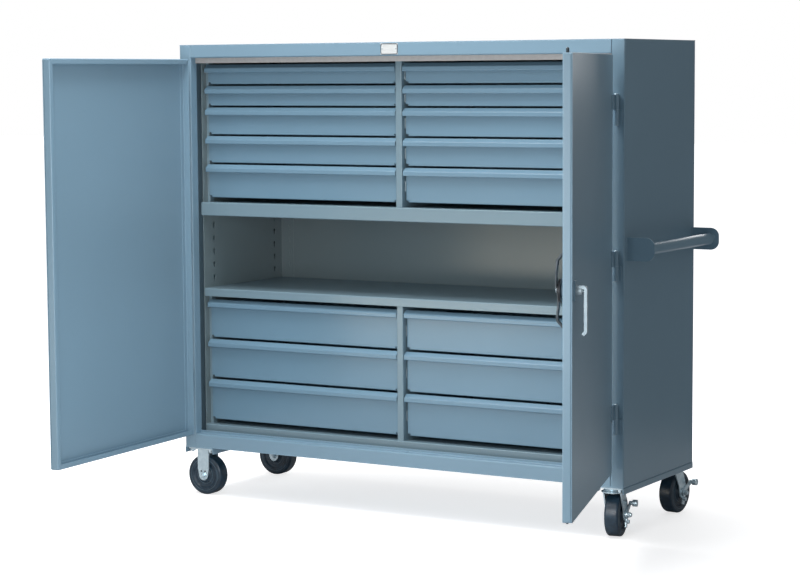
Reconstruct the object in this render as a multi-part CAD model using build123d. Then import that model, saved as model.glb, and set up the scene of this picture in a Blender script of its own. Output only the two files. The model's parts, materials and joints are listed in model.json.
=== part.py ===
from build123d import *
from math import atan2, cos, pi, radians, sin, tan
import os

# A rolling storage cabinet of welded sheet steel: sixteen drawers round an open bay,
# two doors on lift-off hinges, a three-point door lock, a push handle and four casters.
# Millimetres. X runs to the cabinet's right, Y to its back, Z up from the floor.
# Heights inside the body are measured from the body's underside.

# Body shell
body_width = 1829.0
body_depth = 600.0
body_height = 1520.0
shell_sheet = 2.7
inner_sheet = 1.9
shell_bend = 4.0
inner_bend = 2.5
corner_round = 3.0
rear_return = 25.0
cut_margin = 2.0

# Front frame
stile_width = 50.5
jamb_depth = 38.0
header_height = 49.0
header_return = 14.0
sill_height = 52.0
stop_setback = 31.0
stop_flange = 22.0
stop_lap_top = 15.0
stop_lap_bottom = 8.0

# Decks, liners and dividers
bottom_deck_height = 83.0
lower_deck_height = 603.0
upper_deck_height = 930.0
deck_front = 58.0
deck_edge = 30.0
upper_rail_front = 45.0
upper_rail_height = 50.0
upper_rail_return = 14.0
liner_setback = 58.5
liner_front = 58.0
liner_flange = 57.0
divider_width = 26.0
divider_front = 62.0
divider_back_gap = 6.7

# Keyhole slots for shelf clips in the open bay
keyhole_pitch = 50.0
keyhole_count = 5
keyhole_lowest = 643.0
keyhole_columns = (125.0, 540.0)
keyhole_head = 13.0
keyhole_neck = 7.0
keyhole_drop = 13.0
back_slot_inset = 98.5
back_slot_lift = 16.0

# Drawers
upper_front_heights = (125.0, 100.0, 101.0, 74.0, 73.0)
upper_front_gap = 6.5
lower_front_heights = (154.0, 146.0, 144.0)
lower_front_gap = 7.5
drawer_floor_gap = 17.0
face_setback = 83.0
lip_projection = 20.0
lip_slope = 15.0
lip_height = 29.0
lip_hem = 6.0
lip_roll = 5.0
lip_overhang = 3.0
front_flange = 3.5
front_gap_divider = 6.0
front_gap_liner = 12.5
front_notch_width = 12.0
front_notch_height = 8.0
drawer_sheet = 1.5
drawer_bend = 2.5
tray_depth = 485.0
tray_headroom = 12.0
back_headroom = 6.0
drawer_travel = 380.0

# Drawer slides and the posts that carry them
slide_thickness = 12.7
slide_height = 36.0
slide_length = 470.0
slide_setback = 1.5
slide_sheet = 1.5
slide_bend = 1.5
slide_clearance = 0.3
slide_side_gap = 0.3
member_reach = 8.5
channel_tip_gap = 0.8
post_depth = 10.0
post_width = 30.0
post_places = (88.0, 500.0)

# Doors
door_depth = 30.0
door_side_gap = 3.0
door_meeting_gap = 3.0
door_gap_top = 4.0
door_gap_bottom = 2.0
door_corner = 7.0
edge_leg = 20.0
edge_lip = 18.0
left_door_angle = 87.3
right_door_angle = 107.0

# Hinges
hinge_inset = 24.0
hinge_heights = (236.0, 758.0, 1284.0)
barrel_diameter = 17.0
barrel_stand_off = 0.5
leaf_relief = 0.5
barrel_length = 102.0
knuckle_gap = 0.4
hinge_pin_diameter = 9.0
hinge_pin_reach = 42.0
running_clearance = 0.05
leaf_thickness = 4.0
frame_leaf_reach = 18.0
door_leaf_reach = 50.0

# Three-point lock on the right door
lock_inset = 50.0
lock_height = 755.0
handle_stand_off = 34.0
handle_lift = 11.0
handle_bar = 10.0
handle_width = 20.0
handle_bend = 8.0
grip_length = 124.0
grip_curl = 9.0
spindle_diameter = 12.0
hub_diameter = 26.0
hub_length = 18.0
escutcheon_width = 44.0
escutcheon_height = 62.0
escutcheon_thickness = 4.0
housing_diameter = 44.0
housing_flange = 54.0
housing_flange_thickness = 4.0
cam_diameter = 72.0
cam_thickness = 7.0
cam_depth = 40.0
cam_pin_radius = 26.0
cam_pin_diameter = 7.0
cam_pin_length = 10.0
cam_nut_diameter = 18.0
cam_nut_thickness = 8.0
rod_diameter = 10.0
rod_depth = 22.5
link_depth = 53.0
link_thickness = 5.0
link_wall = 3.6
slot_clearance = 1.0
slot_end_clearance = 0.5
link_near_shoulder = 48.0
link_far_shoulder = 59.0
link_neck = 62.0
rod_root = 76.0
joggle_distance = 91.0
joggle_height = 34.0
joggle_bend = 14.0
rod_tip_top = 16.0
rod_tip_bottom = 12.0
rod_point = 3.0
guide_width = 26.0
guide_height = 14.0
guide_inset = 46.0
rod_hole_clearance = 1.0
sill_slot_clearance = 2.0

# Push handle on the right side
bracket_height = 79.0
bracket_reach = 102.5
bracket_thickness = 6.0
bracket_round = 30.0
bracket_setback = 17.0
push_handle_height = 814.5
push_tube_diameter = 40.0
push_tube_wall = 3.0
push_tube_inset = 36.0

# Base channels and casters
channel_width = 127.5
channel_flange = 20.0
channel_sheet = 3.0
caster_height = 184.0
caster_inset = 63.0
caster_front = 58.0
plate_length = 114.0
plate_width = 102.0
plate_thickness = 6.0
plate_corner = 6.0
bolt_diameter = 10.0
bolt_hole_clearance = 0.5
bolt_spacing_x = 84.0
bolt_spacing_y = 76.0
nut_size = 17.0
nut_height = 8.0
bolt_head_height = 6.5
bolt_end = 4.0
wheel_diameter = 152.0
wheel_width = 50.0
wheel_shoulder = 8.0
wheel_recess = 5.0
wheel_recess_diameter = 104.0
wheel_hub_diameter = 46.0
bushing_diameter = 24.0
bushing_proud = 2.6
axle_diameter = 12.7
axle_end = 5.0
leg_gap = 56.0
leg_thickness = 5.0
leg_width = 50.0
leg_taper_height = 102.0
leg_end_radius = 20.0
swivel_lead = 33.0
leg_root_reach = 33.25
crown_diameter = 86.0
crown_height = 158.5
crown_thickness = 5.0
crown_lift = 7.2
race_diameter = 76.0
race_throat = 66.0
race_gap = 0.3
kingpin_diameter = 14.0
kingpin_head_diameter = 26.0
kingpin_head_height = 5.0
front_caster_heading = 10.3
rear_caster_heading = -5.0

# Brake levers on the swivel casters
brake_hub_diameter = 27.0
brake_hub_thickness = 9.0
brake_arm_width = 16.0
brake_arm_thickness = 5.0
brake_reach_back = 56.0
brake_reach_up = 31.0
brake_knee_back = 10.0
brake_knee_up = 7.0
brake_toe_back = -3.0
brake_toe_drop = 44.0
brake_bend = 12.0
brake_pad_diameter = 24.0
brake_pad_thickness = 16.0
brake_neck_diameter = 14.0
brake_neck_length = 12.0
brake_screw_size = 13.0
brake_screw_length = 14.0
brake_screw_drop = 24.0

# Name plate, left bare
name_plate_width = 71.0
name_plate_height = 40.0
name_plate_thickness = 1.0
name_plate_drop = 4.0

# Levels and planes that follow from the sizes above
half_width = body_width / 2
body_bottom = caster_height + channel_sheet
body_top = body_bottom + body_height
floor_top = body_bottom + shell_sheet
roof_underside = body_top - shell_sheet
jamb_face = half_width - stile_width
header_bottom = body_top - header_height
door_top = header_bottom - door_gap_top
door_bottom = body_bottom + sill_height + door_gap_bottom
liner_face = half_width - liner_setback
post_face = liner_face - post_depth
back_panel_front = body_depth - 2 * shell_sheet
liner_back = back_panel_front - inner_sheet
deck_back = liner_back - inner_bend
hinge_x = jamb_face + hinge_inset
hinge_y = -(barrel_diameter / 2 + barrel_stand_off)
door_hinge_edge = jamb_face - door_side_gap
door_free_edge = door_meeting_gap / 2
lock_x = door_free_edge + lock_inset
lock_z = body_bottom + lock_height
drawer_inner_end = divider_width / 2 + front_gap_divider
drawer_outer_end = liner_face - front_gap_liner
tray_inner_side = divider_width / 2 + slide_thickness + slide_side_gap
tray_outer_side = post_face - slide_thickness - slide_side_gap
tray_front = face_setback + drawer_sheet
tray_back = tray_front + tray_depth
slide_front = tray_front + slide_setback
wheel_radius = wheel_diameter / 2
leg_side = leg_gap / 2 + leg_thickness
plate_bottom = caster_height - plate_thickness
caster_x = half_width - caster_inset
caster_places_y = (caster_front, body_depth - caster_front)
cam_front = cam_depth + cam_thickness
pin_offset = cam_pin_radius * sin(radians(45))
rod_travel = 2 * pin_offset
rod_travel_per_radian = rod_travel / (pi / 2)


def level(height):
    """A height measured from the body's underside, given from the floor."""
    return body_bottom + height


def block(x0, x1, y0, y1, z0, z1):
    """A plain block between two corners."""
    middle = Pos((x0 + x1) / 2, (y0 + y1) / 2, (z0 + z1) / 2)
    return middle * Box(abs(x1 - x0), abs(y1 - y0), abs(z1 - z0))


def rod_along(axis, middle, radius, length):
    """A round bar, centred at a point, along X, Y or Z."""
    turn = {"X": Rot(0, 90, 0), "Y": Rot(90, 0, 0), "Z": Rot(0, 0, 0)}[axis]
    return Pos(*middle) * turn * Cylinder(radius, length)


def bent_upright(path, sheet, bend, z0, z1):
    """Sheet bent along a plan path, standing from z0 to z1."""
    section = trace(FilletPolyline(*path, radius=bend), line_width=sheet)
    return Pos(0, 0, z0) * extrude(section, amount=z1 - z0)


def bent_across(path, sheet, bend, x0, x1):
    """Sheet bent along a path of (y, z) points, running from x0 to x1."""
    section = trace(FilletPolyline(*path, radius=bend), line_width=sheet)
    return Pos(x0, 0, 0) * extrude(Plane.YZ * section, amount=x1 - x0)


def bent_back(path, sheet, bend, y0, y1):
    """Sheet bent along a path of (x, z) points, running from y0 to y1."""
    section = trace(FilletPolyline(*path, radius=bend), line_width=sheet)
    return Pos(0, y0, 0) * extrude(Plane.XZ * section, amount=y0 - y1)


def mirrored(shape):
    """The same shape on the other side of the cabinet's middle."""
    return mirror(shape, about=Plane.YZ)


def round_uprights(plate, radius):
    """Round the four vertical edges of a flat sheet."""
    return fillet(plate.edges().filter_by(Axis.Z), radius)


# Body shell


def side_panel():
    """The right side, bent in one piece with its front stile, jamb and rear return."""
    jamb = jamb_face + shell_sheet / 2
    outer = half_width - shell_sheet / 2
    front = shell_sheet / 2
    back = body_depth - shell_sheet / 2
    path = [(jamb, jamb_depth), (jamb, front), (outer, front), (outer, back)]
    path.append((half_width - rear_return, back))
    return bent_upright(path, shell_sheet, shell_bend, floor_top, roof_underside)


def flat_sheet(z0):
    """A full-width sheet that closes the body's top or bottom."""
    sheet = block(-half_width, half_width, 0, body_depth, z0, z0 + shell_sheet)
    return round_uprights(sheet, corner_round)


def bolt_places():
    """Every caster bolt's place in plan."""
    places = []
    for side in (-1, 1):
        for y in caster_places_y:
            for dx in (-bolt_spacing_x / 2, bolt_spacing_x / 2):
                for dy in (-bolt_spacing_y / 2, bolt_spacing_y / 2):
                    places.append((side * caster_x + dx, y + dy))
    return places


def bolt_holes(z0, z1, places):
    """Clearance holes for the caster bolts."""
    radius = bolt_diameter / 2 + bolt_hole_clearance
    length = z1 - z0 + 2 * cut_margin
    return [rod_along("Z", (x, y, (z0 + z1) / 2), radius, length) for x, y in places]


def floor_pan():
    return flat_sheet(body_bottom) - bolt_holes(body_bottom, floor_top, bolt_places())


def header():
    """The front rail over the doors, with a short return behind its lower edge."""
    middle = shell_sheet / 2
    low = header_bottom + middle
    path = [(header_return, low), (middle, low), (middle, roof_underside)]
    return bent_across(path, shell_sheet, shell_bend, -jamb_face, jamb_face)


def header_stop():
    """The strip that the doors close against, hung from the top sheet."""
    front = stop_setback + shell_sheet / 2
    high = roof_underside - shell_sheet / 2
    path = [(front, door_top - stop_lap_top), (front, high), (front + stop_flange, high)]
    return bent_across(path, shell_sheet, shell_bend, -jamb_face, jamb_face)


def sill():
    """The front rail under the doors, bent back and up into the lower door stop."""
    middle = shell_sheet / 2
    high = level(sill_height) - middle
    back = stop_setback + middle
    path = [(middle, floor_top), (middle, high), (back, high), (back, door_bottom + stop_lap_bottom)]
    rail = bent_across(path, shell_sheet, shell_bend, -jamb_face, jamb_face)
    slot_radius = rod_diameter / 2 + sill_slot_clearance
    slot_length = shell_sheet + 2 * cut_margin
    return rail - rod_along("Z", (lock_x, rod_depth, high), slot_radius, slot_length)


def back_panel():
    side = half_width - shell_sheet - shell_bend
    return block(-side, side, back_panel_front, back_panel_front + shell_sheet, floor_top, roof_underside)


def keyhole(radius_head, radius_neck, drop, depth):
    """A pear-shaped slot: a round head over a narrow neck, cut along Y."""
    head = rod_along("Y", (0, 0, 0), radius_head, depth)
    neck = block(-radius_neck, radius_neck, -depth / 2, depth / 2, -drop, 0)
    foot = rod_along("Y", (0, 0, -drop), radius_neck, depth)
    return head + neck + foot


def liner():
    """The right inner wall, with keyholes in the open bay and a rear flange."""
    wall = liner_face + inner_sheet / 2
    back = liner_back + inner_sheet / 2
    path = [(wall, liner_front), (wall, back), (wall - liner_flange, back)]
    sheet = bent_upright(path, inner_sheet, inner_bend, floor_top, roof_underside)
    cutter = keyhole(keyhole_head / 2, keyhole_neck / 2, keyhole_drop, inner_sheet + 2 * cut_margin)
    slots = []
    for row in range(keyhole_count):
        z = level(keyhole_lowest + row * keyhole_pitch)
        for y in keyhole_columns:
            slots.append(Pos(wall, y, z) * Rot(0, 0, 90) * cutter)
        slots.append(Pos(half_width - back_slot_inset, back, z + back_slot_lift) * cutter)
    return sheet - slots


def deck(height):
    """A shelf across the whole body with its front and rear edges bent down."""
    top = level(height) - inner_sheet / 2
    front = deck_front + inner_sheet / 2
    back = deck_back - inner_sheet / 2
    low = level(height) - deck_edge
    path = [(front, low), (front, top), (back, top), (back, low)]
    return bent_across(path, inner_sheet, inner_bend, -liner_face, liner_face)


def upper_deck():
    """The floor of the upper drawers, with a deep front rail and a return under it."""
    top = level(upper_deck_height) - inner_sheet / 2
    low = level(upper_deck_height) - upper_rail_height + inner_sheet / 2
    front = upper_rail_front + inner_sheet / 2
    back = deck_back - inner_sheet / 2
    path = [(front + upper_rail_return, low), (front, low), (front, top), (back, top)]
    path.append((back, low))
    return bent_across(path, inner_sheet, inner_bend, -liner_face, liner_face)


def divider(z0, z1):
    """The upright between the two drawer columns, a channel open to the back."""
    side = divider_width / 2 - inner_sheet / 2
    front = divider_front + inner_sheet / 2
    back = liner_back - divider_back_gap
    path = [(-side, back), (-side, front), (side, front), (side, back)]
    return bent_upright(path, inner_sheet, inner_bend, z0, z1)


def slide_post(y, z0, z1):
    """An upright channel on the right liner that carries the slides."""
    middle = slide_sheet / 2
    face = post_face + middle
    path = [(liner_face, y + middle), (face, y + middle), (face, y + post_width - middle)]
    path.append((liner_face, y + post_width - middle))
    return bent_upright(path, slide_sheet, slide_bend, z0, z1)


def slide_posts():
    posts = []
    for y in post_places:
        posts.append(slide_post(y, level(upper_deck_height), roof_underside))
        posts.append(slide_post(y, level(bottom_deck_height), level(lower_deck_height) - inner_sheet))
    return posts + [mirrored(post) for post in posts]


def name_plate():
    top = body_top - name_plate_drop
    side = name_plate_width / 2
    return block(-side, side, -name_plate_thickness, 0, top - name_plate_height, top)


# Drawers, listed from the lowest of each bank to the highest


def drawer_rows(deck_height, heights, gap):
    """Each drawer front's lower and upper edge, stacked up from a deck."""
    rows = []
    low = level(deck_height) + drawer_floor_gap
    for height in heights:
        rows.append((low, low + height))
        low += height + gap
    return rows


def drawer_front(low, high):
    """The face, bent forward at the top into a sloping lip that is wider than the face.

    The bend at the top rounds its corner off, so that corner lies above the front's height.
    """
    middle = drawer_sheet / 2
    face = face_setback + middle
    lip = face - lip_projection
    half_angle = atan2(lip_projection, lip_slope) / 2
    peak = high - middle + drawer_bend / tan(half_angle) - drawer_bend
    lip_low = high - lip_height + middle
    path = [(face + front_flange, low + middle), (face, low + middle), (face, peak)]
    path += [(lip, peak - lip_slope), (lip, lip_low), (lip + lip_hem, lip_low)]
    radii = [drawer_bend, drawer_bend, lip_roll, drawer_bend]
    left = drawer_inner_end - lip_overhang
    right = drawer_outer_end + lip_overhang
    front = bent_across(path, drawer_sheet, radii, left, right)
    behind = face + front_flange + cut_margin
    for end, inward in ((left, 1), (right, -1)):
        beside_face = end + inward * lip_overhang
        outside = end - inward * cut_margin
        front -= block(outside, beside_face, face_setback, behind, low - cut_margin, high + cut_margin)
        notch_end = beside_face + inward * front_notch_width
        notch_top = low + front_notch_height
        front -= block(outside, notch_end, face_setback - cut_margin, behind, low - cut_margin, notch_top)
    return front


def drawer_tray(low, high):
    """The box behind the front: a floor and two sides in one sheet, and a back."""
    middle = drawer_sheet / 2
    floor = low + drawer_sheet
    side_top = high - tray_headroom
    left = tray_inner_side + middle
    right = tray_outer_side - middle
    path = [(left, side_top), (left, floor + middle), (right, floor + middle), (right, side_top)]
    body = bent_back(path, drawer_sheet, drawer_bend, tray_front, tray_back)
    inner_left = tray_inner_side + drawer_sheet
    inner_right = tray_outer_side - drawer_sheet
    back = block(inner_left, inner_right, tray_back - drawer_sheet, tray_back,
                 floor + drawer_sheet, side_top - back_headroom)
    lower_edges = back.edges().filter_by(Axis.Y).group_by(Axis.Z)[0]
    return [body, fillet(lower_edges, drawer_bend)]


def slide_middle(low, high):
    """The height of a drawer's slides: the middle of its tray's sides."""
    return (low + drawer_sheet + high - tray_headroom) / 2


def slide_section(web_x, tip_x, z, half_height):
    """A channel section in (x, z), with its web at one side."""
    middle = slide_sheet / 2
    web = web_x + (middle if tip_x > web_x else -middle)
    edge = half_height - middle
    return [(tip_x, z + edge), (web, z + edge), (web, z - edge), (tip_x, z - edge)]


def slide_run(path):
    return bent_back(path, slide_sheet, slide_bend, slide_front, slide_front + slide_length)


def fixed_slides(low, high):
    """The two fixed channels of one drawer of the right column."""
    z = slide_middle(low, high)
    half = slide_height / 2
    inner = slide_section(divider_width / 2, tray_inner_side - channel_tip_gap, z, half)
    outer = slide_section(post_face, tray_outer_side + channel_tip_gap, z, half)
    return [slide_run(inner), slide_run(outer)]


def moving_slides(low, high):
    """The two runners on the sides of a drawer of the right column."""
    z = slide_middle(low, high)
    half = slide_height / 2 - slide_sheet - slide_clearance
    inner = slide_section(tray_inner_side, tray_inner_side - member_reach, z, half)
    outer = slide_section(tray_outer_side, tray_outer_side + member_reach, z, half)
    return [slide_run(inner), slide_run(outer)]


def drawer(low, high):
    return [drawer_front(low, high)] + drawer_tray(low, high) + moving_slides(low, high)


# Doors, modelled closed and then turned about their hinge pins


def turned_right(shape):
    """A piece of the right door, turned to where the door stands open."""
    return shape.rotate(Axis((hinge_x, hinge_y, 0), (0, 0, 1)), right_door_angle)


def turned_left(shape):
    """A piece of a right door, mirrored and turned to where the left door stands."""
    return mirrored(shape).rotate(Axis((-hinge_x, hinge_y, 0), (0, 0, 1)), -left_door_angle)


def door_panel():
    """The flat outer sheet of the right door."""
    sheet = block(door_free_edge, door_hinge_edge, 0, shell_sheet, door_bottom, door_top)
    return fillet(sheet.edges().filter_by(Axis.Y), door_corner)


def mitre(x_points, z_points):
    """A block that keeps one side of the door frame, cut at 45 degrees at both ends."""
    outline = make_face(Polyline(*zip(x_points, z_points), close=True))
    near = door_depth + cut_margin
    return Pos(0, near, 0) * extrude(Plane.XZ * outline, amount=near + cut_margin)


def door_frame(rod_holes):
    """The four edge channels welded behind the door's outer sheet."""
    middle = inner_sheet / 2
    skin = shell_sheet + middle
    lip = door_depth - middle
    left, right = door_free_edge, door_hinge_edge
    low, high = door_bottom, door_top
    free = [(left + edge_leg, skin), (left + middle, skin), (left + middle, lip), (left + edge_lip, lip)]
    hinge = [(right - edge_leg, skin), (right - middle, skin), (right - middle, door_depth)]
    upper = [(skin, high - edge_leg), (skin, high - middle), (lip, high - middle), (lip, high - edge_lip)]
    lower = [(skin, low + edge_leg), (skin, low + middle), (lip, low + middle), (lip, low + edge_lip)]
    cut = 2 * edge_leg
    in_x = (left, left + cut, right - cut, right)
    in_z = (low, low + cut, high - cut, high)
    bars = [
        bent_upright(free, inner_sheet, inner_bend, low, high)
        & mitre((in_x[0], in_x[1], in_x[1], in_x[0]), (in_z[0], in_z[1], in_z[2], in_z[3])),
        bent_upright(hinge, inner_sheet, inner_bend, low, high)
        & mitre((in_x[3], in_x[2], in_x[2], in_x[3]), (in_z[0], in_z[1], in_z[2], in_z[3])),
        bent_across(upper, inner_sheet, inner_bend, left, right)
        & mitre((in_x[0], in_x[1], in_x[2], in_x[3]), (in_z[3], in_z[2], in_z[2], in_z[3])),
        bent_across(lower, inner_sheet, inner_bend, left, right)
        & mitre((in_x[0], in_x[1], in_x[2], in_x[3]), (in_z[0], in_z[1], in_z[1], in_z[0])),
    ]
    corners = door_corner_block()
    bars = [bar & corners for bar in bars]
    if rod_holes:
        radius = rod_diameter / 2 + rod_hole_clearance
        hole = rod_along("Z", (lock_x, rod_depth, (low + high) / 2), radius, high - low + 2 * cut_margin)
        bars[2] -= hole
        bars[3] -= hole
    return bars


def door_corner_block():
    """The door's whole space, with the rounded corners of its outer sheet."""
    space = block(door_free_edge, door_hinge_edge, 0, door_depth, door_bottom, door_top)
    return fillet(space.edges().filter_by(Axis.Y), door_corner)


def hinge_leaf(z0, z1, x_end):
    """One knuckle of a hinge and the flat leaf welded to it."""
    barrel = rod_along("Z", (hinge_x, hinge_y, (z0 + z1) / 2), barrel_diameter / 2, z1 - z0)
    return barrel + block(hinge_x, x_end, -leaf_thickness, 0, z0, z1)


def door_leaf(z0, z1):
    """A door's leaf, relieved behind so that it clears the stile when the door shuts."""
    relief = block(door_hinge_edge, hinge_x + cut_margin, -leaf_relief, cut_margin, z0, z1)
    return hinge_leaf(z0, z1, hinge_x - door_leaf_reach) - relief


def frame_hinge_leaves():
    """The lower half of each right hinge, with the pin that stands up out of it."""
    leaves = []
    for height in hinge_heights:
        z = level(height)
        leaf = hinge_leaf(z - barrel_length / 2, z - knuckle_gap / 2, hinge_x + frame_leaf_reach)
        pin_middle = z + hinge_pin_reach / 2 - knuckle_gap
        pin = rod_along("Z", (hinge_x, hinge_y, pin_middle), hinge_pin_diameter / 2, hinge_pin_reach)
        leaves.append(leaf + pin)
    return leaves


def door_hinge_leaves():
    """The upper half of each right hinge, bored for the pin."""
    leaves = []
    bore = hinge_pin_diameter / 2 + running_clearance
    depth = hinge_pin_reach + knuckle_gap
    for height in hinge_heights:
        z = level(height)
        leaf = door_leaf(z + knuckle_gap / 2, z + barrel_length / 2)
        leaves.append(leaf - rod_along("Z", (hinge_x, hinge_y, z + depth / 2), bore, depth))
    return leaves


# Three-point lock, modelled on the closed right door


def latch_handle():
    """A bar bent out from the door and down into a hanging grip, on its spindle."""
    out = -handle_stand_off
    arm = lock_z + handle_lift
    bottom = lock_z - grip_length
    hub_start = -escutcheon_thickness - running_clearance
    path = [(hub_start, arm), (out, arm), (out, bottom), (out + grip_curl, bottom - grip_curl)]
    bar = bent_across(path, handle_bar, handle_bend, lock_x - handle_width / 2, lock_x + handle_width / 2)
    hub = rod_along("Y", (lock_x, hub_start - hub_length / 2, lock_z), hub_diameter / 2, hub_length)
    spindle_end = cam_front + cam_nut_thickness
    spindle_length = spindle_end - hub_start
    spindle_middle = (spindle_end + hub_start) / 2
    spindle = rod_along("Y", (lock_x, spindle_middle, lock_z), spindle_diameter / 2, spindle_length)
    return bar + hub + spindle


def cam_pins():
    """Plan offsets of the cam's two pins from the spindle, top rod first."""
    return [(-pin_offset, pin_offset), (pin_offset, -pin_offset)]


def latch_cam():
    """The disc on the spindle's end, its two pins and the nut that holds it."""
    disc_middle = cam_depth + cam_thickness / 2
    disc = rod_along("Y", (lock_x, disc_middle, lock_z), cam_diameter / 2, cam_thickness)
    nut_middle = cam_front + cam_nut_thickness / 2
    disc += rod_along("Y", (lock_x, nut_middle, lock_z), cam_nut_diameter / 2, cam_nut_thickness)
    for dx, dz in cam_pins():
        pin_middle = (lock_x + dx, cam_front + cam_pin_length / 2, lock_z + dz)
        disc += rod_along("Y", pin_middle, cam_pin_diameter / 2, cam_pin_length)
    bore = spindle_diameter / 2 + running_clearance
    bore_length = 2 * (cam_thickness + cam_nut_thickness)
    return disc - rod_along("Y", (lock_x, cam_front, lock_z), bore, bore_length)


def lock_rod(side, tip):
    """One lock rod: up for side 1, down for side -1, ending at the height tip."""
    def z_at(reach):
        return lock_z + side * reach

    half = link_thickness / 2
    slot_half = cam_pin_diameter / 2 + slot_clearance
    slot_near = pin_offset - cam_pin_diameter / 2 - slot_end_clearance
    slot_far = cam_pin_radius + cam_pin_diameter / 2 + slot_end_clearance
    plate_start = pin_offset - slot_half - link_wall
    near = lock_x - side * (slot_near - link_wall)
    far = lock_x - side * (slot_far + link_wall)
    near_edge = lock_x + side * rod_diameter / 2
    far_edge = lock_x - side * rod_diameter / 2
    outline = [(near, z_at(plate_start)), (far, z_at(plate_start)), (far, z_at(link_far_shoulder))]
    outline += [(far_edge, z_at(joggle_distance)), (near_edge, z_at(joggle_distance))]
    outline += [(near_edge, z_at(link_neck)), (near, z_at(link_near_shoulder))]
    face = make_face(Polyline(*outline, close=True))
    plate = Pos(0, link_depth + half, 0) * extrude(Plane.XZ * face, amount=link_thickness)
    slot_x = sorted((lock_x - side * slot_near, lock_x - side * slot_far))
    slot_z = sorted((z_at(pin_offset - slot_half), z_at(pin_offset + slot_half)))
    plate -= block(*slot_x, link_depth - link_thickness, link_depth + link_thickness, *slot_z)
    path = [(lock_x, link_depth, z_at(rod_root)), (lock_x, link_depth, z_at(joggle_distance))]
    path += [(lock_x, rod_depth, z_at(joggle_distance + joggle_height)), (lock_x, rod_depth, tip)]
    line = FilletPolyline(*path, radius=joggle_bend)
    section = Plane(origin=path[0], z_dir=(0, 0, side)) * Circle(rod_diameter / 2)
    rod = sweep(section, path=line)
    tip_edge = rod.edges().sort_by(Axis.Z)[-1 if side > 0 else 0]
    return chamfer(tip_edge, rod_point) + plate


def lock_fittings():
    """The pieces that carry the lock: outer plate, spindle housing and rod guides."""
    bore_length = 2 * (cam_depth + cut_margin)
    bore = rod_along("Y", (lock_x, 0, lock_z), spindle_diameter / 2 + running_clearance, bore_length)
    plate = block(lock_x - escutcheon_width / 2, lock_x + escutcheon_width / 2, -escutcheon_thickness, 0,
                  lock_z - escutcheon_height / 2, lock_z + escutcheon_height / 2)
    plate = fillet(plate.edges().filter_by(Axis.Y), door_corner) - bore
    flange_end = shell_sheet + housing_flange_thickness
    flange = block(lock_x - housing_flange / 2, lock_x + housing_flange / 2, shell_sheet, flange_end,
                   lock_z - housing_flange / 2, lock_z + housing_flange / 2)
    flange = fillet(flange.edges().filter_by(Axis.Y), door_corner)
    boss_end = cam_depth - slide_clearance
    boss_middle = (lock_x, (flange_end + boss_end) / 2, lock_z)
    housing = flange + rod_along("Y", boss_middle, housing_diameter / 2, boss_end - flange_end)
    guide_bore = rod_diameter / 2 + running_clearance
    guide_bore_length = guide_height + 2 * cut_margin
    guides = []
    for z in (door_top - guide_inset, door_bottom + guide_inset):
        guide = block(lock_x - guide_width / 2, lock_x + guide_width / 2, shell_sheet,
                      rod_depth + rod_diameter / 2 + slide_sheet, z - guide_height / 2, z + guide_height / 2)
        guide = fillet(guide.edges().filter_by(Axis.Z).group_by(Axis.Y)[-1], rod_diameter / 2)
        guides.append(guide - rod_along("Z", (lock_x, rod_depth, z), guide_bore, guide_bore_length))
    return [plate, housing - bore] + guides


def right_door_panel():
    """The right door's outer sheet, pierced for the spindle."""
    radius = spindle_diameter / 2 + rod_hole_clearance
    hole = rod_along("Y", (lock_x, 0, lock_z), radius, 2 * (shell_sheet + cut_margin))
    return door_panel() - hole


# Push handle


def push_handle_bracket(y0):
    """A plate that stands out from the side, rounded at its outer end."""
    z = level(push_handle_height)
    plate = block(half_width, half_width + bracket_reach, y0, y0 + bracket_thickness,
                  z - bracket_height / 2, z + bracket_height / 2)
    outer_edges = plate.edges().filter_by(Axis.Y).group_by(Axis.X)[-1]
    return fillet(outer_edges, bracket_round)


def push_handle():
    """Two brackets and the round tube welded between them."""
    z = level(push_handle_height)
    front = bracket_setback
    back = body_depth - bracket_setback - bracket_thickness
    tube_start = front + bracket_thickness
    tube_length = back - tube_start
    tube_middle = (half_width + bracket_reach - push_tube_inset, tube_start + tube_length / 2, z)
    tube = rod_along("Y", tube_middle, push_tube_diameter / 2, tube_length)
    tube -= rod_along("Y", tube_middle, push_tube_diameter / 2 - push_tube_wall, 2 * tube_length)
    return [push_handle_bracket(front), tube, push_handle_bracket(back)]


# Base and casters


def base_channels():
    """Two downward channels under the body's ends, drilled for the casters."""
    middle = channel_sheet / 2
    outer = half_width - middle
    inner = half_width - channel_width + middle
    web = body_bottom - middle
    low = caster_height - channel_flange
    path = [(inner, low), (inner, web), (outer, web), (outer, low)]
    right = bent_back(path, channel_sheet, shell_bend, 0, body_depth)
    right_places = [place for place in bolt_places() if place[0] > 0]
    right -= bolt_holes(caster_height, body_bottom, right_places)
    return [mirrored(right), right]


def caster_plate(x, y):
    plate = block(x - plate_length / 2, x + plate_length / 2, y - plate_width / 2, y + plate_width / 2,
                  plate_bottom, caster_height)
    places = [place for place in bolt_places()
              if abs(place[0] - x) < plate_length and abs(place[1] - y) < plate_width]
    return round_uprights(plate, plate_corner) - bolt_holes(plate_bottom, caster_height, places)


def hexagon(size, height, middle):
    """A hexagonal head or nut, upright."""
    prism = extrude(RegularPolygon(size / 2, 6, major_radius=False), amount=height / 2, both=True)
    return Pos(*middle) * prism


def caster_bolts():
    """Bolts from inside the body, with a nut under each caster plate."""
    bolts = []
    bolt_low = plate_bottom - nut_height - bolt_end
    for x, y in bolt_places():
        shank = rod_along("Z", (x, y, (floor_top + bolt_low) / 2), bolt_diameter / 2, floor_top - bolt_low)
        head = hexagon(nut_size, bolt_head_height, (x, y, floor_top + bolt_head_height / 2))
        nut = hexagon(nut_size, nut_height, (x, y, plate_bottom - nut_height / 2))
        bolts.append(shank + head + nut)
    return bolts


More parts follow.
